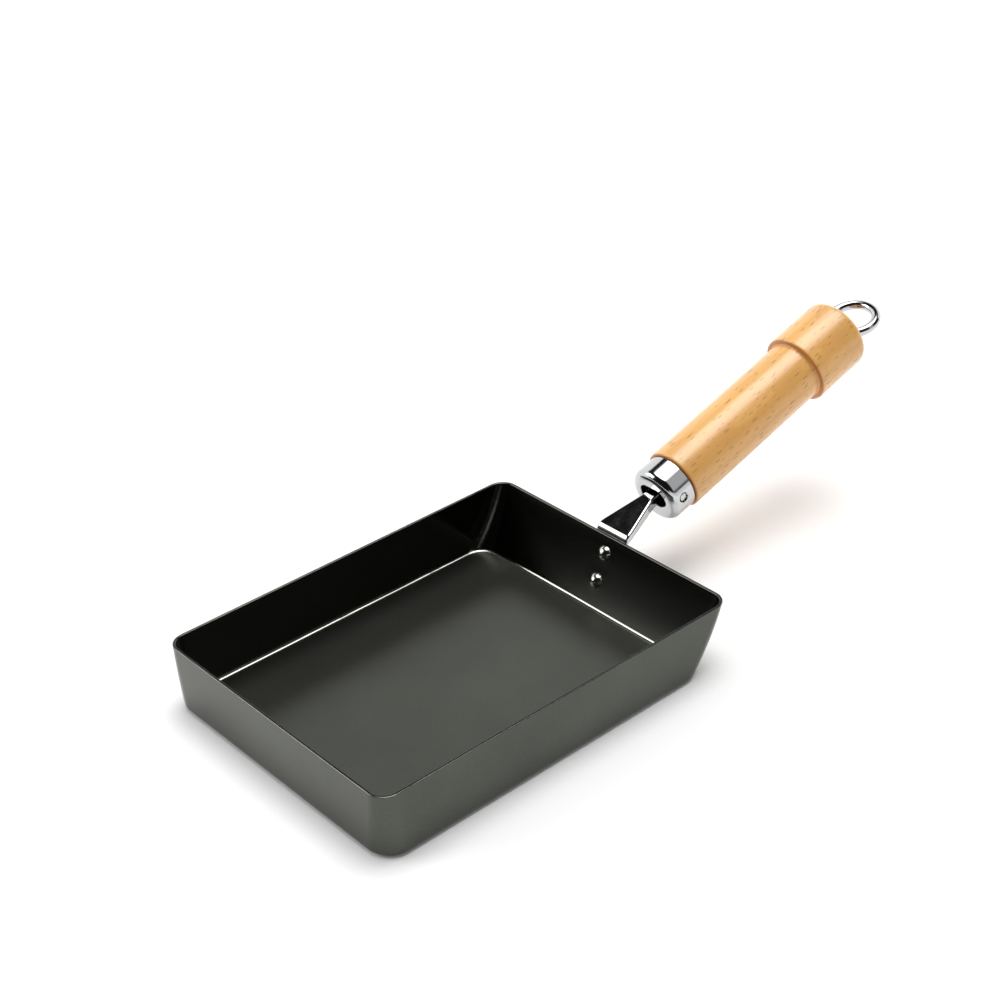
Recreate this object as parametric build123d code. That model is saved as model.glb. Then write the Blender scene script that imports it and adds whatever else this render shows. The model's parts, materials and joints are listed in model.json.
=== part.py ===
from build123d import *
import os
from math import asin, atan2, cos, hypot, radians, sin, sqrt, tan

# Rectangular pan for rolled omelette. Lengths are millimetres, angles are degrees.
# Origin: on the underside, below the middle of the rim. +X runs to the handle, +Y across, +Z up.

# Tray, pressed from one iron sheet. Three walls stand upright and the handle-side wall leans out
# and is slightly rounded, like the side of a bowl. Halfway up, the corners are a little tighter
# than an even change from the base radius to the rim radius.
rim_length = 178.0
rim_width = 135.0
tray_height = 29.5
tray_sheet = 1.2
handle_wall_setback = 14.3
handle_wall_bulge = 0.9
rim_corner_radius = 7.5
base_corner_radius = 12.0
corner_tightening = 0.9
floor_bend_radius = 3.0
rim_edge_radius = 0.35

# Rivets, measured down the leaning wall from the rim
rivet_shank_radius = 2.0
rivet_head_radius = 3.4
rivet_dome_height = 2.3
rivet_outer_radius = 3.6
rivet_outer_height = 1.3
upper_rivet_drop = 8.1
rivet_pitch = 12.5

# Tang, a stamped steel channel: foot on the wall, bend over the rim, taper, neck inside the wood
tang_sheet = 1.6
foot_width = 17.9
foot_drop = 26.0
foot_end_radius = 6.0
tang_bend_rise = 2.6
tang_bend_radius = 4.0
tang_step_radius = 20.0
tang_plan_radius = 12.0
tang_edge_radius = 1.0
neck_width = 6.2
neck_height = 4.9
neck_above_axis = 3.3
neck_step_ahead = 1.7
neck_depth = 24.0

# Line of the handle: its axis meets the ferrule's face this far past the rim and above it
handle_rise_angle = 17.4
handle_reach = 25.3
handle_lift = 7.65

# Ferrule, a drawn steel cup with an oval mouth for the neck
ferrule_radius = 12.8
ferrule_length = 12.2
ferrule_sheet = 0.9
ferrule_edge_radius = 3.4
ferrule_back_round = 0.3
mouth_width = 14.4
mouth_height = 9.6
mouth_above_axis = 0.9
mouth_edge_radius = 0.35

# Pin across ferrule, wood and neck
pin_radius = 1.5
pin_head_radius = 1.7
pin_head_depth = 0.8
pin_dome_height = 0.45
pin_dimple_radius = 2.5
pin_hole_radius = 2.15
pin_above_axis = 1.6
pin_back = 6.1

# Wooden grip, turned, with a thicker collar at the butt. Stations are measured along the axis.
grip_radius = 13.95
collar_radius = 16.35
wood_length = 111.4
collar_length = 30.3
shoulder_round = 0.9
collar_root_round = 0.8
collar_edge_round = 1.0
butt_round = 3.5
spigot_front_gap = 3.2
spigot_edge_round = 2.6
shoulder_gap = 0.3

# Hanging ring and the screw eye that holds it in the butt
ring_mean_radius = 10.5
ring_wire_radius = 2.13
ring_rest_droop = 2.2
ring_swing_angle = 28.0
ring_sink = 0.35
eye_wire_radius = 1.5
eye_clearance = 0.35
screw_core_radius = 1.5
screw_crest_radius = 2.1
screw_pitch = 2.0
screw_turns = 9
screw_plain_length = 7.0
screw_tip_length = 3.0
ring_slot_play = 0.55
ring_slot_depth_play = 0.5

# Clearances between pieces, how far cuts run past what they cut, and how deep a head or foot is
# drawn into a rounded wall before it is cut to that wall's shape
fit_clearance = 0.05
slip_clearance = 0.2
pocket_clearance = 0.35
overrun = 2.0
seating_depth = 0.1

# Leaning wall: from the side its outer face is an arc through rim and floor, about one centre
half_length = rim_length / 2
rim_point = Vector(half_length, 0, tray_height)
wall_chord = hypot(handle_wall_setback, tray_height)
wall_radius = wall_chord ** 2 / (8 * handle_wall_bulge) + handle_wall_bulge / 2
wall_lean = atan2(handle_wall_setback, tray_height)
rim_lean = wall_lean - asin(wall_chord / (2 * wall_radius))
wall_inset = tray_sheet / cos(wall_lean)
wall_centre = rim_point - Vector(cos(rim_lean), 0, -sin(rim_lean)) * wall_radius

# Handle: local z runs along the axis from the ferrule's face to the butt, local x points up
rise = radians(handle_rise_angle)
axis_direction = Vector(cos(rise), 0, sin(rise))
axis_up = Vector(-sin(rise), 0, cos(rise))
face_point = rim_point + Vector(handle_reach, 0, handle_lift)
handle_plane = Plane(origin=face_point, x_dir=axis_up, z_dir=axis_direction)
shoulder_station = ferrule_length + shoulder_gap
butt_station = shoulder_station + wood_length
step_station = butt_station - collar_length

# Screw eye: its ring goes round the hanging ring's wire, its screw points back along the axis
pivot_station = butt_station - ring_sink
eye_mean_radius = ring_wire_radius + eye_clearance + eye_wire_radius
eye_outer_radius = eye_mean_radius + eye_wire_radius
eye_floor_station = pivot_station - eye_outer_radius - pocket_clearance
thread_top_station = pivot_station - eye_outer_radius - screw_plain_length
screw_end_station = thread_top_station - screw_turns * screw_pitch - screw_tip_length

# How a block, cylinder or cone that stands on the local XY plane is aligned
standing = (Align.CENTER, Align.CENTER, Align.MIN)


def on_handle(along, above=0.0):
    """A point of the handle's middle plane, by its station along the axis and its height above it."""
    return face_point + axis_direction * along + axis_up * above


def in_handle(shape):
    """Move a shape from the handle's local frame to the pan's frame."""
    return handle_plane.location * shape


def dome(radius, height):
    """Spherical cap that stands on the local XY plane."""
    sphere_radius = (radius ** 2 + height ** 2) / (2 * height)
    block = Box(2 * radius, 2 * radius, height, align=standing)
    return Pos(0, 0, height - sphere_radius) * Sphere(sphere_radius) & block


def rod(radius, low, high):
    """Cylinder along local Z between two heights."""
    return Pos(0, 0, low) * Cylinder(radius, high - low, align=standing)


def across(shape):
    """Turn a shape that stands along local Z so that it lies along local Y."""
    return Rot(-90, 0, 0) * shape


def wall_place(drop):
    """Plane on the leaning wall's outer face, this far down from the rim, facing outwards."""
    lean = rim_lean + drop / wall_radius
    outwards = Vector(cos(lean), 0, -sin(lean))
    return Plane(origin=wall_centre + outwards * wall_radius, x_dir=(0, 1, 0), z_dir=outwards)


def tray_section(height, inset):
    """Rounded rectangle of the tray at a height, with its walls moved in by the sheet."""
    share = height / tray_height
    low_x = -half_length + (tray_sheet if inset else 0)
    high_x = wall_centre.X + sqrt(wall_radius ** 2 - (height - wall_centre.Z) ** 2)
    high_x = high_x - (wall_inset if inset else 0)
    width = rim_width - (2 * tray_sheet if inset else 0)
    corner = base_corner_radius + (rim_corner_radius - base_corner_radius) * share
    corner = corner - 4 * corner_tightening * share * (1 - share)
    corner = corner - (tray_sheet if inset else 0)
    outline = RectangleRounded(high_x - low_x, width, corner)
    return Pos((low_x + high_x) / 2, 0, height) * outline


def tray_form(inset):
    """Solid form of the tray's outside or inside, smooth through three sections, its floor edge bent."""
    floor_height = tray_sheet if inset else 0
    top_height = tray_height + (overrun if inset else 0)
    heights = (floor_height, tray_height / 2, top_height)
    form = loft([tray_section(height, inset) for height in heights])
    return fillet(form.faces().sort_by(Axis.Z)[0].edges(), floor_bend_radius - floor_height)


def make_pan_body():
    """Tray of even sheet: outer form less inner form, with softened rim edges and rivet holes."""
    tray = tray_form(False) - tray_form(True)
    tray = fillet(tray.faces().sort_by(Axis.Z)[-1].edges(), rim_edge_radius)
    for drop in (upper_rivet_drop, upper_rivet_drop + rivet_pitch):
        hole = rod(rivet_shank_radius + fit_clearance, -tray_sheet - overrun, overrun)
        tray -= wall_place(drop).location * hole
    return tray


def make_rivet(drop, tray, tang):
    """Rivet through wall and foot. Both heads are cut to the rounded faces that they sit on."""
    inside = Pos(0, 0, seating_depth - tray_sheet) * Rot(180, 0, 0) * dome(rivet_head_radius, rivet_dome_height)
    outside = Pos(0, 0, tang_sheet - seating_depth) * dome(rivet_outer_radius, rivet_outer_height)
    shank = rod(rivet_shank_radius, seating_depth - tray_sheet, tang_sheet - seating_depth)
    return wall_place(drop).location * (inside + shank + outside) - tray - tang


def side_point(point):
    """The X and Z of a point, for outlines drawn in the middle plane."""
    return (point.X, point.Z)


def side_face(points):
    """Face in the middle plane, inside an outline of points."""
    return make_face(Polyline([side_point(p) for p in points], close=True))


def round_corner(face, corner, radius):
    """Round the corner of a flat outline that is nearest to a place in the outline's own plane."""
    nearest = face.vertices().sort_by(lambda v: hypot(v.X - corner[0], v.Y - corner[1]))[0]
    return fillet(nearest, radius)


def below(previous, corner, following, distance):
    """Where two lines that meet at a corner meet again, once both are moved down by a distance."""
    first = (corner - previous).normalized()
    second = (following - corner).normalized()
    first_down = Vector(first.Z, 0, -first.X)
    second_down = Vector(second.Z, 0, -second.X)
    return corner + (first_down + second_down) * (distance / (1 + first_down.dot(second_down)))


def tang_plan(start_x, taper_x, step_x, end_x, inset):
    """Tall block with the tang's plan outline: wide foot, straight taper, narrow neck."""
    wide = foot_width / 2 - inset
    narrow = neck_width / 2 - inset
    one_side = [(start_x, -wide), (taper_x, -wide), (step_x, -narrow), (end_x, -narrow)]
    other_side = [(x, -y) for x, y in reversed(one_side)]
    outline = make_face(Polyline(one_side + other_side, close=True))
    for corner in (*one_side[1:3], *other_side[1:3]):
        outline = round_corner(outline, corner, tang_plan_radius)
    return extrude(outline, face_point.Z + wood_length)


def foot_corner_cut():
    """What is cut off the foot to round its two lower corners."""
    blank = Pos(0, foot_end_radius) * Rectangle(
        foot_width + overrun, foot_end_radius + overrun, align=(Align.CENTER, Align.MAX))
    kept = RectangleRounded(
        foot_width, 2 * foot_drop, foot_end_radius, align=(Align.CENTER, Align.MIN))
    return wall_place(foot_drop).location * extrude(blank - kept, tang_sheet + overrun, both=True)


def wall_arc(low_drop, high_drop, outwards):
    """Arc in the middle plane that follows the leaning wall at a distance outside it."""
    drops = (low_drop, (low_drop + high_drop) / 2, high_drop)
    places = [wall_place(drop) for drop in drops]
    return ThreePointArc(*[side_point(place.origin + place.z_dir * outwards) for place in places])


def make_handle_tang(tray):
    """Stamped channel: a full form with rounded top edges, less the hollow under its sheet."""
    rim_place = wall_place(0)
    bend = rim_point + rim_place.y_dir * tang_bend_rise
    step = on_handle(-neck_step_ahead, neck_above_axis)
    tail = on_handle(neck_depth, neck_above_axis)
    flange_start = rim_point + rim_place.z_dir * tang_sheet
    foot_end = wall_place(foot_drop).origin
    neck_down = axis_up * neck_height

    # full form from the side: foot, bend over the rim, taper and neck, then the lower edges back
    upper_edge = Polyline([side_point(p) for p in (rim_point, bend, step, tail)])
    low_points = (tail, tail - neck_down, step - neck_down, flange_start)
    lower_edge = Polyline([side_point(p) for p in low_points])
    foot_front = wall_arc(0, foot_drop, 0)
    foot_back = wall_arc(0, foot_drop, tang_sheet)
    foot_low = Line(foot_front @ 1, foot_back @ 1)
    outline = make_face([upper_edge, lower_edge, foot_back, foot_low, foot_front])
    outline = round_corner(outline, side_point(bend), tang_bend_radius)
    outline = round_corner(outline, side_point(step), tang_step_radius)
    form = extrude(Plane.XZ * outline, foot_width / 2, both=True)

    # trimmed to the plan outline, which starts to taper where the bend ends
    slope = (step - bend).normalized()
    half_turn = radians(rim_place.y_dir.get_angle(slope)) / 2
    taper_x = bend.X + tang_bend_radius * tan(half_turn) * slope.X
    plan_stations = (foot_end.X - overrun, taper_x, step.X, tail.X + overrun)
    form &= tang_plan(*plan_stations, 0)
    top_faces = form.faces().filter_by(lambda face: face.normal_at().X < 0 < face.normal_at().Z)
    form = fillet(top_faces.edges().filter_by(Axis.Y, reverse=True), tang_edge_radius)

    # hollow under the sheet, between the turned-down edges
    past = axis_direction * overrun
    under = -axis_up * overrun
    bend_below = below(rim_point, bend, step, tang_sheet)
    roof = [bend_below, below(bend, step, tail, tang_sheet), tail - axis_up * tang_sheet + past]
    open_end = [tail - neck_down + past + under, step - neck_down + under]
    hollow_outline = side_face([*roof, *open_end, flange_start - rim_place.y_dir * overrun])
    hollow_outline = round_corner(hollow_outline, side_point(bend_below), tang_bend_radius - tang_sheet)
    hollow = extrude(Plane.XZ * hollow_outline, foot_width / 2, both=True)
    tang = form - (hollow & tang_plan(*plan_stations, tang_sheet)) - foot_corner_cut()

    # rivet holes in the foot and the pin's hole through the neck's two sides
    for drop in (upper_rivet_drop, upper_rivet_drop + rivet_pitch):
        hole = rod(rivet_shank_radius + fit_clearance, -overrun, tang_sheet + overrun)
        tang -= wall_place(drop).location * hole
    pin_hole = across(rod(pin_radius + fit_clearance, -neck_width, neck_width))
    return tang - in_handle(Pos(pin_above_axis, 0, pin_back) * pin_hole) - tray


def make_ferrule():
    """Drawn cup, open to the wood, with an oval mouth in its face and a dimple on each side."""
    outer = rod(ferrule_radius, 0, ferrule_length)
    outer = fillet(outer.edges().group_by(Axis.Z)[0], ferrule_edge_radius)
    inner = rod(ferrule_radius - ferrule_sheet, ferrule_sheet, ferrule_length + overrun)
    inner = fillet(inner.edges().group_by(Axis.Z)[0], ferrule_edge_radius - ferrule_sheet)
    cup = outer - inner
    cup = fillet(cup.edges().group_by(Axis.Z)[-1].sort_by(SortBy.RADIUS)[-1], ferrule_back_round)
    mouth = SlotOverall(mouth_width, mouth_height, rotation=90)
    cup -= Pos(mouth_above_axis, 0, -overrun) * extrude(mouth, 2 * overrun + ferrule_sheet)
    cup = fillet(cup.faces().sort_by(Axis.Z)[0].inner_wires()[0].edges(), mouth_edge_radius)
    for side in (1, -1):
        cup -= pin_seat(side)
    return in_handle(cup)


def pin_seat(side):
    """Hole through the ferrule's wall, round the pin's head, that flares out to a dimple."""
    surface = sqrt(ferrule_radius ** 2 - pin_above_axis ** 2)
    flare = Cone(pin_dimple_radius, pin_hole_radius, pin_head_depth / 2, align=standing)
    rim = rod(pin_dimple_radius, -overrun, 0)
    bore = rod(pin_hole_radius, 0, ferrule_sheet + overrun)
    seat = across(flare + rim + bore)
    if side > 0:
        seat = Rot(0, 0, 180) * seat
    return Pos(pin_above_axis, side * surface, pin_back) * seat


def make_cross_pin():
    """Pin with countersunk, slightly domed heads at both ends."""
    surface = sqrt(ferrule_radius ** 2 - pin_above_axis ** 2)
    reach = surface - pin_head_depth
    shank = rod(pin_radius, -reach, reach)
    flare = Cone(pin_radius, pin_head_radius, pin_head_depth / 2, align=standing)
    head = flare + Pos(0, 0, pin_head_depth / 2) * dome(pin_head_radius, pin_dome_height)
    pin = shank + Pos(0, 0, reach) * head + Rot(180, 0, 0) * Pos(0, 0, reach) * head
    return in_handle(Pos(pin_above_axis, 0, pin_back) * across(pin))


def make_handle_grip():
    """Turned beech: spigot in the ferrule, grip, thicker collar, with its mortise, bores and slot."""
    spigot_radius = ferrule_radius - ferrule_sheet - fit_clearance
    front = ferrule_sheet + spigot_front_gap
    outline = [
        (0, front), (spigot_radius, front), (spigot_radius, shoulder_station),
        (grip_radius, shoulder_station), (grip_radius, step_station),
        (collar_radius, step_station), (collar_radius, butt_station), (0, butt_station),
    ]
    rounds = [spigot_edge_round, shoulder_round, collar_root_round, collar_edge_round, butt_round]
    profile = make_face(Polyline(outline, close=True))
    for corner, radius in zip([outline[1], *outline[3:7]], rounds):
        profile = round_corner(profile, corner, radius)
    wood = revolve(Plane.XZ * profile, Axis.Z)

    # mortise for the tang's neck
    mortise_height = neck_height + 2 * slip_clearance
    mortise_depth = neck_depth + 2 * slip_clearance
    mortise_width = neck_width + 2 * slip_clearance
    mortise = Box(mortise_height, mortise_width, mortise_depth, align=standing)
    wood -= Pos(neck_above_axis - neck_height / 2, 0, 0) * mortise

    # bore for the cross pin
    pin_bore = across(rod(pin_radius + fit_clearance, -ferrule_radius, ferrule_radius))
    wood -= Pos(pin_above_axis, 0, pin_back) * pin_bore

    # counterbore for the eye, bore for its screw, and the slot that the ring swings in
    wood -= rod(eye_outer_radius + pocket_clearance, eye_floor_station, butt_station + overrun)
    wood -= rod(screw_crest_radius + fit_clearance, screw_end_station - slip_clearance, butt_station)
    return in_handle(wood - ring_slot())


def ring_slot():
    """Slot of a round cutter that follows the ring, its mouth widened at the angle of the swing."""
    cutter_radius = ring_mean_radius + ring_wire_radius + ring_slot_depth_play
    swing = radians(ring_swing_angle)
    half_gap = ring_wire_radius + ring_slot_play
    half_mouth = ring_wire_radius / cos(swing) + ring_sink * tan(swing) + ring_slot_play
    mouth_depth = (half_mouth - half_gap) / tan(swing)
    cutter_place = Pos(0, 0, pivot_station + ring_mean_radius) * Rot(0, 90, 0)
    narrow_cut = cutter_place * Cylinder(cutter_radius, 2 * half_gap)
    wide_cut = cutter_place * Cylinder(cutter_radius, 2 * half_mouth)
    ramp_side = [(half_gap, butt_station - mouth_depth), (half_mouth, butt_station)]
    ramp_side.append((half_mouth, butt_station + overrun))
    other_side = [(-x, z) for x, z in reversed(ramp_side)]
    ramp_outline = make_face(Polyline(ramp_side + other_side, close=True))
    ramp = extrude(Plane.XZ * ramp_outline, cutter_radius, both=True)
    return narrow_cut + (wide_cut & ramp)


def make_screw_eye():
    """Closed eye of round wire on a wood screw. The thread's crests are drawn as rings."""
    head = pivot_station - eye_mean_radius
    outline = [(0, head), (screw_core_radius, head), (screw_core_radius, thread_top_station)]
    for turn in range(screw_turns):
        crest = thread_top_station - (turn + 0.5) * screw_pitch
        outline.append((screw_crest_radius, crest))
        outline.append((screw_core_radius, crest - screw_pitch / 2))
    outline.append((0, screw_end_station))
    screw = revolve(Plane.XZ * make_face(Polyline(outline, close=True)), Axis.Z)
    eye = Pos(0, 0, pivot_station) * across(Torus(eye_mean_radius, eye_wire_radius))
    return in_handle(screw + eye)


def make_hanging_ring():
    """Closed ring of round wire. It hinges about the wire's middle inside the eye."""
    ring = Pos(0, 0, ring_mean_radius) * Rot(0, 90, 0) * Torus(ring_mean_radius, ring_wire_radius)
    return in_handle(Pos(0, 0, pivot_station) * Rot(0, -ring_rest_droop, 0) * ring)


pan_body = make_pan_body()
handle_tang = make_handle_tang(pan_body)
pieces = {
    "pan_body": pan_body,
    "upper_rivet": make_rivet(upper_rivet_drop, pan_body, handle_tang),
    "lower_rivet": make_rivet(upper_rivet_drop + rivet_pitch, pan_body, handle_tang),
    "handle_tang": handle_tang,
    "ferrule": make_ferrule(),
    "cross_pin": make_cross_pin(),
    "handle_grip": make_handle_grip(),
    "screw_eye": make_screw_eye(),
    "hanging_ring": make_hanging_ring(),
}

os.makedirs("parts", exist_ok=True)
for name, piece in pieces.items():
    export_step(piece, f"parts/{name}.step")
    box = piece.bounding_box()
    x_range = f"x {box.min.X:.2f} to {box.max.X:.2f}"
    print(f"{name}: {len(piece.solids())} solid, volume {piece.volume:.1f}, {x_range}")

pivot = on_handle(pivot_station)
print(f"ring pivot: {pivot.X:.4f}, {pivot.Y:.4f}, {pivot.Z:.4f}")
up_limit = ring_swing_angle + ring_rest_droop
down_limit = ring_swing_angle - ring_rest_droop
print(f"ring swing: {-up_limit:.1f} to {down_limit:.1f} degrees about +Y")
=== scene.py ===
# %% [markdown]
# # A rectangular pan for rolled omelette
# The pan is a tray of treated iron sheet with a chromed tang riveted to it, and a turned beech
# handle with a hanging ring. The solids come from the frame at their real size and place. What
# is left to do here is what the eye judges: the finish of each surface, the light on it and the
# place that it is looked at from.

# %% Load the solids
import json
from math import cos, radians, sin

import bpy
from mathutils import Matrix, Vector

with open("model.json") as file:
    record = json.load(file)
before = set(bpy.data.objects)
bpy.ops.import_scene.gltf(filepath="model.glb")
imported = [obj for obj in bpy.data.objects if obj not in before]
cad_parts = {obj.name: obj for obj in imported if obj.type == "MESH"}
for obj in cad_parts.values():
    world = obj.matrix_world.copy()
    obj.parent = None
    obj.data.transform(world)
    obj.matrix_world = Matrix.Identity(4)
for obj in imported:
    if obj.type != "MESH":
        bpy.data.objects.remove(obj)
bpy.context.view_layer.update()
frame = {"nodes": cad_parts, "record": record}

nodes = frame["nodes"]
print("faces of each solid:", {name: len(solid.data.polygons) for name, solid in nodes.items()})


# %% [markdown]
# ## Units and colours
# The frame is in metres, but a maker thinks in millimetres, so one small value turns one into
# the other. Colours are written as the hex values that a colour picker shows, and one function
# turns them into the linear light that a shader works with.

# %% Millimetres and hex colours
MM = 0.001


def linear_colour(hex_value):
    """An sRGB hex colour such as "C3C4C4" as linear red, green, blue and alpha."""
    channels = [int(hex_value[i:i + 2], 16) / 255 for i in (0, 2, 4)]
    return [c / 12.92 if c <= 0.04045 else ((c + 0.055) / 1.055) ** 2.4 for c in channels] + [1.0]


white = linear_colour("FFFFFF")
print("middle grey 808080 in linear light:", round(linear_colour("808080")[0], 3))


# %% [markdown]
# ## One way to add a node
# Every finish below is a tree of shader nodes. Adding a node, setting it up and plugging it in
# is always the same work, so one function does it, for the materials and the room alike. An
# input is a plain value, an output of another node, or a node, which then gives its first
# output. A few nodes come back again and again with the same settings, so those have a name.

# %% Add a node
def add_node(tree, kind, settings=None, **inputs):
    """Add a node, set its attributes, and fill or link its inputs. i0 is the first input."""
    node = tree.nodes.new(kind)
    for name, value in (settings or {}).items():
        setattr(node, name, value)
    for name, value in inputs.items():
        key = int(name[1:]) if name[1:].isdigit() else name.replace("_", " ")
        source = value.outputs[0] if isinstance(value, bpy.types.Node) else value
        if isinstance(source, bpy.types.NodeSocket):
            tree.links.new(source, node.inputs[key])
        else:
            node.inputs[key].default_value = source
    return node


ADD = ("ShaderNodeMath", {"operation": "ADD"})
MULTIPLY = ("ShaderNodeMath", {"operation": "MULTIPLY"})
MULTIPLY_ADD = ("ShaderNodeMath", {"operation": "MULTIPLY_ADD"})
SOFT_STEP = ("ShaderNodeMapRange", {"interpolation_type": "SMOOTHSTEP"})
MIX = ("ShaderNodeMixRGB", {})
DOT = ("ShaderNodeVectorMath", {"operation": "DOT_PRODUCT"})
STRETCH = ("ShaderNodeMapping", {"vector_type": "TEXTURE"})


def new_material(name):
    """An empty material with its output and a Principled shader that feeds it."""
    material = bpy.data.materials.new(name)
    material.use_nodes = True
    tree = material.node_tree
    tree.nodes.clear()
    shader = add_node(tree, "ShaderNodeBsdfPrincipled")
    add_node(tree, "ShaderNodeOutputMaterial", Surface=shader)
    return material, tree, shader


named_kinds = (ADD, MULTIPLY, MULTIPLY_ADD, SOFT_STEP, MIX, DOT, STRETCH)
print("kinds of node with a name:", [kind for kind, settings in named_kinds])


# %% [markdown]
# ## The camera
# A photographer of cookware stands the pan with its handle pointing away to the right and looks
# down on it by about thirty degrees, so that the inside, two outer walls and the handle all show.
# The camera's place was found by laying the real tray's corners over their picture. Its axes are
# built from three angles, which reads better than nine numbers of a matrix.

# %% Place the camera
camera_azimuth = radians(-40.65)
camera_elevation = radians(31.07)
camera_roll = radians(-2.26)
camera_offset = Vector((18.68, 72.69, 766.9)) * MM
camera_lens = 68.73
camera_sensor = 36.0
nearest_view = 10 * MM

sideways = Vector((cos(camera_azimuth), sin(camera_azimuth), 0))
backwards = Vector((
    sin(camera_azimuth) * cos(camera_elevation),
    -cos(camera_azimuth) * cos(camera_elevation),
    sin(camera_elevation),
))
upwards = backwards.cross(sideways)
camera_x = sideways * cos(camera_roll) + upwards * sin(camera_roll)
camera_y = upwards * cos(camera_roll) - sideways * sin(camera_roll)

camera = bpy.data.objects.new("camera", bpy.data.cameras.new("camera"))
bpy.context.scene.collection.objects.link(camera)
camera.data.lens = camera_lens
camera.data.sensor_width = camera_sensor
camera.data.clip_start = nearest_view
camera_axes = Matrix((camera_x, camera_y, backwards)).transposed()
camera.matrix_world = Matrix.Translation(camera_axes @ camera_offset) @ camera_axes.to_4x4()
bpy.context.scene.camera = camera
print("camera stands at", [round(v, 3) for v in camera.matrix_world.translation])


# %% [markdown]
# ## The table
# The pan stands on a matt white table that runs on to the backdrop without an edge. A real white
# surface returns nine tenths of its light, so it would print as pale grey. The lift makes it a
# little brighter to the eye and in the metal, and leaves the light that it throws on the pan as
# it is. One flat face is enough for it, because nothing of it shows but its light and shadow.

# %% Lay the table
table_reach = 3.0
table_lift = 0.08

table_material, tree, shader = new_material("matt white table")
shader.inputs["Base Color"].default_value = linear_colour("F2F2F2")
shader.inputs["Roughness"].default_value = 1.0
shader.inputs["Specular IOR Level"].default_value = 0.0
shader.inputs["Emission Color"].default_value = white
rays = add_node(tree, "ShaderNodeLightPath").outputs
lifted = add_node(tree, *ADD, i0=rays["Is Camera Ray"], i1=rays["Is Glossy Ray"])
lifted = add_node(tree, *ADD, i0=lifted, i1=rays["Is Transmission Ray"])
lift = add_node(tree, *MULTIPLY, i0=lifted, i1=table_lift)
tree.links.new(lift.outputs[0], shader.inputs["Emission Strength"])

table_mesh = bpy.data.meshes.new("table")
table_signs = ((-1, -1), (1, -1), (1, 1), (-1, 1))
table_corners = [(x * table_reach, y * table_reach, 0) for x, y in table_signs]
table_mesh.from_pydata(table_corners, [], [(0, 1, 2, 3)])
table_mesh.materials.append(table_material)
table = bpy.data.objects.new("table", table_mesh)
bpy.context.scene.collection.objects.link(table)
print("table of", [round(v, 2) for v in table.dimensions], "m")


# %% [markdown]
# ## The room
# Bright metal has no colour of its own: it shows the room. So the studio is a short list of lit
# cards in a dark room, each with its direction, its spread and its level, where one is the white
# of paper. The dark between the cards is what gives chrome its blacks. The side card stands on
# the left, above the height that most of the leaning wall mirrors, so only the foot of the wall
# glows with it. The soft box hangs overhead. It gives the varnish its streak and the bends their
# line. These two are several times as bright as paper. All edges are soft, as a diffuser's are.
# The camera itself sees plain white.

# %% Light the room
dark_room_level = 0.012

# azimuth, half its spread, lowest and highest elevation, softness of the edges, level
cards = {
    "backdrop": (62, 78, -10, 38, 4, 1.2),
    "side card": (137, 18, 17, 45, 3, 4.0),
    "white sheet in front": (-72, 60, -10, 12, 4, 0.95),
    "front card": (-70, 10, 20, 64, 6, 0.6),
}
# azimuth, elevation, radius, softness of the edge, level
soft_box = (15, 79, 15, 15, 7.0)

world = bpy.data.worlds.new("studio")
bpy.context.scene.world = world
bpy.context.scene.view_settings.view_transform = "Standard"
world.use_nodes = True
tree = world.node_tree
tree.nodes.clear()
direction = add_node(tree, "ShaderNodeTexCoord").outputs["Generated"]
height = add_node(tree, "ShaderNodeSeparateXYZ", Vector=direction).outputs["Z"]
light = dark_room_level
for azimuth, spread, lowest, highest, softness, level in cards.values():
    turned = add_node(tree, "ShaderNodeVectorRotate", {"rotation_type": "Z_AXIS"},
                      Vector=direction, Angle=-radians(azimuth))
    flat = add_node(tree, "ShaderNodeSeparateXYZ", Vector=turned).outputs
    angle = add_node(tree, "ShaderNodeMath", {"operation": "ARCTAN2"}, i0=flat["Y"], i1=flat["X"])
    angle = add_node(tree, "ShaderNodeMath", {"operation": "ABSOLUTE"}, i0=angle)
    card = add_node(tree, *SOFT_STEP, Value=angle, To_Min=level, To_Max=0.0,
                    From_Min=radians(spread - softness), From_Max=radians(spread + softness))
    above = add_node(tree, *SOFT_STEP, Value=height, From_Min=sin(radians(lowest - softness)),
                     From_Max=sin(radians(lowest + softness)))
    below = add_node(tree, *SOFT_STEP, Value=height, From_Min=sin(radians(highest - softness)),
                     From_Max=sin(radians(highest + softness)), To_Min=1.0, To_Max=0.0)
    card = add_node(tree, *MULTIPLY, i0=card, i1=above)
    light = add_node(tree, *MULTIPLY_ADD, i0=card, i1=below, i2=light)

azimuth, elevation, radius, softness, level = soft_box
towards_box = Vector((cos(radians(azimuth)) * cos(radians(elevation)),
                      sin(radians(azimuth)) * cos(radians(elevation)), sin(radians(elevation))))
nearness = add_node(tree, *DOT, i0=direction, i1=towards_box).outputs["Value"]
glow = add_node(tree, *SOFT_STEP, Value=nearness, From_Min=cos(radians(radius + softness)),
                From_Max=cos(radians(radius - softness)), To_Min=0.0, To_Max=level)
light = add_node(tree, *ADD, i0=light, i1=glow)
seen = add_node(tree, "ShaderNodeLightPath").outputs["Is Camera Ray"]
room = add_node(tree, *MIX, i0=seen, i1=light, i2=white)
background = add_node(tree, "ShaderNodeBackground", Color=room, Strength=1.0)
add_node(tree, "ShaderNodeOutputWorld", Surface=background)
print("room with", len(cards), "cards and a soft box, in", len(tree.nodes), "nodes")


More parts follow.
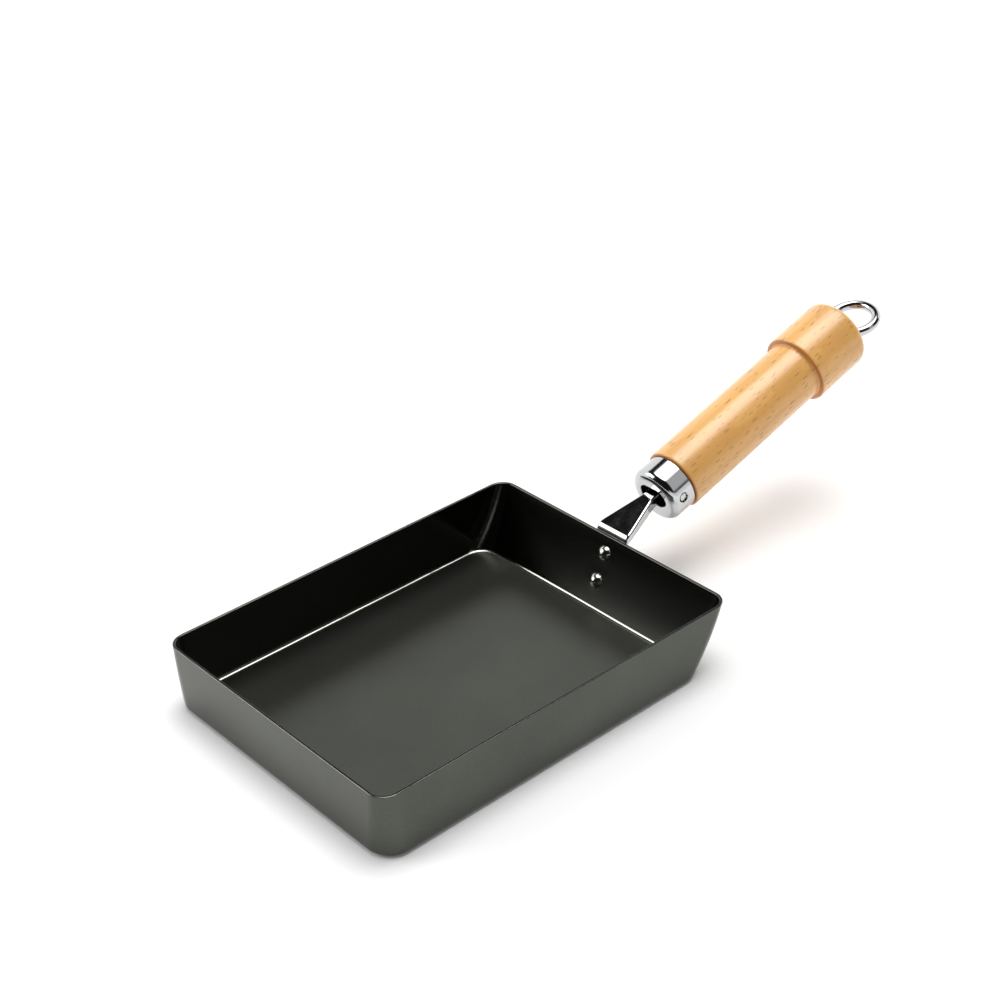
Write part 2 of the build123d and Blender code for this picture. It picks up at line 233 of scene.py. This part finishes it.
# %% [markdown]
# ## Nitrided iron
# The tray is iron sheet that was nitrided and oxidised. The treatment leaves a thin dark skin
# over the metal, so the surface still mirrors softly like metal, but returns only a tenth of the
# light, with a touch of green. It has a fine speckle, like very fine sandpaper. The real speckle
# is finer than a pixel, so it is drawn at half a millimetre, which just shows. The die that drew
# the walls left them smoother than the floor. The bend between floor and wall gets a pale colour,
# a painted highlight that draws its line of light. The floor gets a trace of it, and the rim's
# rounded edges get a weaker share. The rim's flat top is painted almost black, a painted dark
# reflection. Floor, bend, rim and walls are told apart by the direction that the surface faces
# and by its height.

# %% Iron
dark_skin, pale_skin = linear_colour("4A4C46"), linear_colour("5C5E58")
# the near-black colour is a painted dark reflection on the rim's flat top
# the pale colour is a painted highlight for the bends and, weaker, for the rim's rounded edges
painted_highlight_skin, painted_dark_rim_top = linear_colour("A6A69E"), linear_colour("242428")
speckle_size, speckle_depth, speckle_strength = 0.55 * MM, 0.02 * MM, 0.04
patch_size = 35 * MM
patch_darkest, patch_palest = 0.92, 1.06
# a noise texture is grey: nearly all of its values lie between these
noise_low, noise_high = 0.3, 0.7
# how many sizes of detail a noise has
smooth, uneven, fine = 1.0, 2.0, 3.0
wall_roughness, floor_roughness, roughness_play = 0.17, 0.33, 0.02
# height of the surface's direction: upright walls have 0 and a level floor has 1
wall_ends, bend_starts, bend_ends, floor_starts = 0.55, 0.75, 0.93, 0.985
# share of the painted highlight that the floor gets
floor_highlight_share = 0.03
low_in_tray, high_in_tray = 8 * MM, 20 * MM
# share of the painted highlight that the rim's rounded edges get
rim_highlight_share = 0.3

iron, tree, shader = new_material("nitrided iron sheet")
coordinates = add_node(tree, "ShaderNodeTexCoord").outputs
where = coordinates["Object"]
speckle = add_node(tree, "ShaderNodeTexNoise", Vector=where, Scale=1 / speckle_size, Detail=fine)
patches = add_node(tree, "ShaderNodeTexNoise", Vector=where, Scale=1 / patch_size, Detail=uneven)
skin = add_node(tree, *MIX, i0=speckle, i1=dark_skin, i2=pale_skin)
shade = add_node(tree, "ShaderNodeMapRange", Value=patches, From_Min=noise_low,
                 From_Max=noise_high, To_Min=patch_darkest, To_Max=patch_palest)
skin = add_node(tree, "ShaderNodeVectorMath", {"operation": "SCALE"}, i0=skin, Scale=shade)

upward = add_node(tree, "ShaderNodeSeparateXYZ", Vector=coordinates["Normal"]).outputs["Z"]
above_table = add_node(tree, "ShaderNodeSeparateXYZ", Vector=where).outputs["Z"]
at_rim = add_node(tree, *SOFT_STEP, Value=above_table, From_Min=low_in_tray,
                  From_Max=high_in_tray)
past_wall = add_node(tree, *SOFT_STEP, Value=upward, From_Min=wall_ends, From_Max=bend_starts)
floor = add_node(tree, *SOFT_STEP, Value=upward, From_Min=bend_ends, From_Max=floor_starts)
# painted highlight: full on the bends, a trace on the floor, none on the walls, weaker at the rim
painted_highlight_mask = add_node(tree, *MULTIPLY_ADD, i0=floor, i1=floor_highlight_share - 1.0, i2=past_wall)
highlight_scale_by_height = add_node(tree, *MULTIPLY_ADD, i0=at_rim, i1=rim_highlight_share - 1.0, i2=1.0)
painted_highlight_mask = add_node(tree, *MULTIPLY, i0=painted_highlight_mask, i1=highlight_scale_by_height)
# the painted highlight is mixed into the skin colour here
skin = add_node(tree, *MIX, i0=painted_highlight_mask, i1=skin, i2=painted_highlight_skin)
# painted dark reflection: the rim's flat top, facing up high in the tray, is coloured almost
# black
edge = add_node(tree, *MULTIPLY, i0=floor, i1=at_rim)
skin = add_node(tree, *MIX, i0=edge, i1=skin, i2=painted_dark_rim_top)
tree.links.new(skin.outputs[0], shader.inputs["Base Color"])

play = add_node(tree, "ShaderNodeMapRange", Value=speckle, From_Min=noise_low,
                From_Max=noise_high, To_Min=wall_roughness - roughness_play,
                To_Max=wall_roughness + roughness_play)
rough = add_node(tree, *MULTIPLY_ADD, i0=floor, i1=floor_roughness - wall_roughness, i2=play)
tree.links.new(rough.outputs[0], shader.inputs["Roughness"])
bump = add_node(tree, "ShaderNodeBump", Height=speckle, Strength=speckle_strength,
                Distance=speckle_depth)
tree.links.new(bump.outputs[0], shader.inputs["Normal"])
shader.inputs["Metallic"].default_value = 1.0
finishes = {"treated_iron": iron}
print(iron.name, "in", len(tree.nodes), "nodes")


# %% [markdown]
# ## Chrome plate
# Tang, ferrule, pin and ring are steel with a bright chrome plate. Chrome returns a bit over
# half of the light, evenly over the colours, and its polish is nearly that of a mirror. Stamped
# and drawn sheet is never quite even under it, and a faint slow wave bends the mirror images.
# Hands and cloths leave the polish a little duller in places.

# %% Chrome
plate_tints = linear_colour("C0C1C2"), linear_colour("C8C9CA")
wave_size, wave_depth, wave_strength = 7 * MM, 0.12 * MM, 0.3
wipe_size = 4 * MM
best_polish, dull_polish = 0.07, 0.13

chrome, tree, shader = new_material("bright chrome plate")
where = add_node(tree, "ShaderNodeTexCoord").outputs["Object"]
wave = add_node(tree, "ShaderNodeTexNoise", Vector=where, Scale=1 / wave_size, Detail=smooth)
bump = add_node(tree, "ShaderNodeBump", Height=wave, Strength=wave_strength, Distance=wave_depth)
tree.links.new(bump.outputs[0], shader.inputs["Normal"])
wiped = add_node(tree, "ShaderNodeTexNoise", Vector=where, Scale=1 / wipe_size, Detail=uneven)
dull = add_node(tree, "ShaderNodeMapRange", Value=wiped, From_Min=noise_low,
                From_Max=noise_high, To_Min=best_polish, To_Max=dull_polish)
tree.links.new(dull.outputs[0], shader.inputs["Roughness"])
tint = add_node(tree, *MIX, i0=wiped, i1=plate_tints[0], i2=plate_tints[1])
tree.links.new(tint.outputs[0], shader.inputs["Base Color"])
shader.inputs["Metallic"].default_value = 1.0
finishes["plated_steel"] = chrome
print(chrome.name, "in", len(tree.nodes), "nodes")


# %% [markdown]
# ## Rivet steel
# The rivets are cold headed steel. Setting them burnishes their domes, so they shine, but with
# a softer mirror than the plate's, and the rivet set leaves faint dents that break the shine up.

# %% Rivets
rivet_tints = linear_colour("B8B5AE"), linear_colour("CCC9C2")
dent_size, dent_depth, dent_strength = 1.6 * MM, 0.05 * MM, 0.3
burnished, as_headed = 0.12, 0.2

rivets, tree, shader = new_material("cold headed steel")
where = add_node(tree, "ShaderNodeTexCoord").outputs["Object"]
dents = add_node(tree, "ShaderNodeTexNoise", Vector=where, Scale=1 / dent_size, Detail=uneven)
tint = add_node(tree, *MIX, i0=dents, i1=rivet_tints[0], i2=rivet_tints[1])
tree.links.new(tint.outputs[0], shader.inputs["Base Color"])
dull = add_node(tree, "ShaderNodeMapRange", Value=dents, From_Min=noise_low,
                From_Max=noise_high, To_Min=burnished, To_Max=as_headed)
tree.links.new(dull.outputs[0], shader.inputs["Roughness"])
bump = add_node(tree, "ShaderNodeBump", Height=dents, Strength=dent_strength, Distance=dent_depth)
tree.links.new(bump.outputs[0], shader.inputs["Normal"])
shader.inputs["Metallic"].default_value = 1.0
finishes["rivet_steel"] = rivets
print(rivets.name, "in", len(tree.nodes), "nodes")


# %% [markdown]
# ## Lacquered beech: where the grain lies
# The grip was turned from one blank, so its pattern runs through the solid and is worked out in
# the handle's own axes: x along the grain, y and z across it. The grain frame is those axes
# turned about the handle, so that z points out from the middle of the tree. Wood is never even,
# and one slow noise makes the growth rings waver and the tone drift a little.

# %% Grain axes
handle_rise = radians(17.4)
handle_start = Vector((114.3, 0, 37.15)) * MM
grain_turn = radians(-45)
waver_size = 30 * MM

beech, tree, shader = new_material("lacquered beech")
coordinates = add_node(tree, "ShaderNodeTexCoord").outputs
local = add_node(tree, *STRETCH, Vector=coordinates["Object"], Location=handle_start,
                 Rotation=(0, -handle_rise, 0))
grain = add_node(tree, "ShaderNodeVectorRotate", {"rotation_type": "X_AXIS"}, Vector=local,
                 Angle=grain_turn)
waver = add_node(tree, "ShaderNodeTexNoise", Vector=grain, Scale=1 / waver_size, Detail=uneven)
print("the grain starts at", [round(v / MM, 1) for v in handle_start], "mm")


# %% [markdown]
# ## Lacquered beech: fibres, growth rings and rays
# The fibres give a fine streak along the grain. They are finer than a pixel, so they are drawn a
# third of a millimetre wide, which shows. The growth rings are faint bands round a pith that lies
# well outside the handle. Beech is known by its rays: thin sheets of cells that run out from the
# middle of the tree. Cut across, each is a short brown spindle along the grain. A flat Voronoi
# pattern in x and y, the same at every z, gives spindles that go on inwards as rays do. Each cell
# gives its spindle a size of its own, and some stay empty.

# %% Grain pattern
fibre_size = Vector((16.0, 0.35, 0.35)) * MM
pale_fibre, warm_fibre = linear_colour("F2BA66"), linear_colour("D79A45")
ring_spacing, ring_waver = 2.6 * MM, 3 * MM
pith_distance = 70 * MM
# shares of a year's growth: where its late wood starts and where that is fully there
late_starts, late_full = 0.35, 0.95
late_wood, ring_strength = linear_colour("D3913F"), 0.35
ray_spacing = Vector((11.0, 1.1, 1.0)) * MM
smallest_ray, ray_size_range = 0.07, 0.14
# the brown is full up to this share of a spindle's size, and gone at its edge
ray_core_share = 0.5
# a cell's chance: below the first it stays empty, and above the second its spindle is full
empty_below, full_above = 0.1, 0.5
ray_brown, ray_strength = linear_colour("7C3E0C"), 0.75
drift_starts, drift_ends, drift_darkest, drift_palest = 0.35, 0.65, 0.94, 1.04

stretched = add_node(tree, *STRETCH, Vector=grain, Scale=fibre_size)
fibre = add_node(tree, "ShaderNodeTexNoise", Vector=stretched, Scale=1.0, Detail=fine)
wood = add_node(tree, *MIX, i0=fibre, i1=warm_fibre, i2=pale_fibre)

from_pith = add_node(tree, "ShaderNodeVectorMath", {"operation": "MULTIPLY_ADD"}, i0=grain,
                     i1=(0, 1, 1), i2=(0, 0, pith_distance))
radius = add_node(tree, "ShaderNodeVectorMath", {"operation": "LENGTH"}, i0=from_pith)
radius = add_node(tree, *MULTIPLY_ADD, i0=waver, i1=ring_waver, i2=radius.outputs["Value"])
year = add_node(tree, *MULTIPLY, i0=radius, i1=1 / ring_spacing)
year = add_node(tree, "ShaderNodeMath", {"operation": "FRACT"}, i0=year)
late = add_node(tree, *SOFT_STEP, Value=year, From_Min=late_starts, From_Max=late_full,
                To_Max=ring_strength)
wood = add_node(tree, *MIX, i0=late, i1=wood, i2=late_wood)

cells = add_node(tree, *STRETCH, Vector=grain, Scale=ray_spacing)
rays = add_node(tree, "ShaderNodeTexVoronoi", {"voronoi_dimensions": "2D"}, Vector=cells,
                Scale=1.0, Randomness=1.0).outputs
chance = add_node(tree, "ShaderNodeSeparateColor", Color=rays["Color"]).outputs
size = add_node(tree, *MULTIPLY_ADD, i0=chance["Green"], i1=ray_size_range, i2=smallest_ray)
reach = add_node(tree, "ShaderNodeMath", {"operation": "DIVIDE"}, i0=rays["Distance"], i1=size)
spindle = add_node(tree, *SOFT_STEP, Value=reach, From_Min=ray_core_share, From_Max=1.0,
                   To_Min=ray_strength, To_Max=0.0)
kept = add_node(tree, *SOFT_STEP, Value=chance["Red"], From_Min=empty_below, From_Max=full_above)
fleck = add_node(tree, *MULTIPLY, i0=spindle, i1=kept)
wood = add_node(tree, *MIX, i0=fleck, i1=wood, i2=ray_brown)

drift = add_node(tree, *SOFT_STEP, Value=waver, From_Min=drift_starts, From_Max=drift_ends,
                 To_Min=drift_darkest, To_Max=drift_palest)
wood = add_node(tree, "ShaderNodeVectorMath", {"operation": "SCALE"}, i0=wood, Scale=drift)
print("rays every", [round(v / MM, 1) for v in ray_spacing][:2], "mm along and across")


# %% [markdown]
# ## Lacquered beech: end grain, painted shade and lacquer
# On the step and the butt the cut goes across the grain. The pores stand open there and drink
# the lacquer, which makes the wood darker and redder. That colour is also partly a painted shade:
# it stands in for the shade on the step. Inside the ferrule the wood is painted near black, a
# painted shade for the dark mouth of the ferrule. The lacquer is a clear coat over the wood: its
# own gloss is soft, and the ray spindles sink a hair below the surface under it.

# %% End grain, painted shade and lacquer
# end grain colour, darker and redder, which also stands in for the shade on the step: partly
# painted shade
end_grain_and_step_shade, end_grain_and_shade_strength = linear_colour("BC661C"), 0.8
# painted shade: near black for the wood seen in the dark mouth of the ferrule
painted_shade_in_ferrule = linear_colour("1E140C")
# one is a face square to the grain: end grain starts to show at the first, fully at the second
end_starts, end_full = 0.55, 0.95
ferrule_end, ferrule_fade = 12.2 * MM, 0.7 * MM
pore_depth, pore_strength = 0.03 * MM, 0.3
smooth_wood, open_wood = 0.5, 0.6
lacquer_roughness = 0.22

handle_direction = Vector((cos(handle_rise), 0, sin(handle_rise)))
facing = add_node(tree, *DOT, i0=coordinates["Normal"], i1=handle_direction).outputs["Value"]
facing = add_node(tree, "ShaderNodeMath", {"operation": "ABSOLUTE"}, i0=facing)
# end faces get the end grain colour, partly painted shade
end = add_node(tree, *SOFT_STEP, Value=facing, From_Min=end_starts, From_Max=end_full,
               To_Max=end_grain_and_shade_strength)
wood = add_node(tree, *MIX, i0=end, i1=wood, i2=end_grain_and_step_shade)
station = add_node(tree, "ShaderNodeSeparateXYZ", Vector=local).outputs["X"]
outside = add_node(tree, *SOFT_STEP, Value=station, From_Min=ferrule_end - ferrule_fade,
                   From_Max=ferrule_end)
# painted shade: the wood inside the ferrule is coloured near black
wood = add_node(tree, *MIX, i0=outside, i1=painted_shade_in_ferrule, i2=wood)
tree.links.new(wood.outputs[0], shader.inputs["Base Color"])

dull = add_node(tree, "ShaderNodeMapRange", Value=fibre, From_Min=noise_low,
                From_Max=noise_high, To_Min=smooth_wood, To_Max=open_wood)
tree.links.new(dull.outputs[0], shader.inputs["Roughness"])
pores = add_node(tree, "ShaderNodeBump", {"invert": True}, Height=fleck, Strength=pore_strength,
                 Distance=pore_depth)
tree.links.new(pores.outputs[0], shader.inputs["Normal"])
shader.inputs["Coat Weight"].default_value = 1.0
shader.inputs["Coat Roughness"].default_value = lacquer_roughness
finishes["lacquered_beech"] = beech
print(beech.name, "in", len(tree.nodes), "nodes")


# %% [markdown]
# ## Dressing the solids
# The record says which finish each solid has, and each solid already carries a slot for it. So
# the finishes go straight into the slots, and every solid keeps its shape and its place.

# %% Dress the solids
for part in frame["record"]["subparts"]:
    for slot in nodes[part["node"]].material_slots:
        slot.material = finishes[part["material_slot"]]
    print(part["node"], "is", finishes[part["material_slot"]].name)
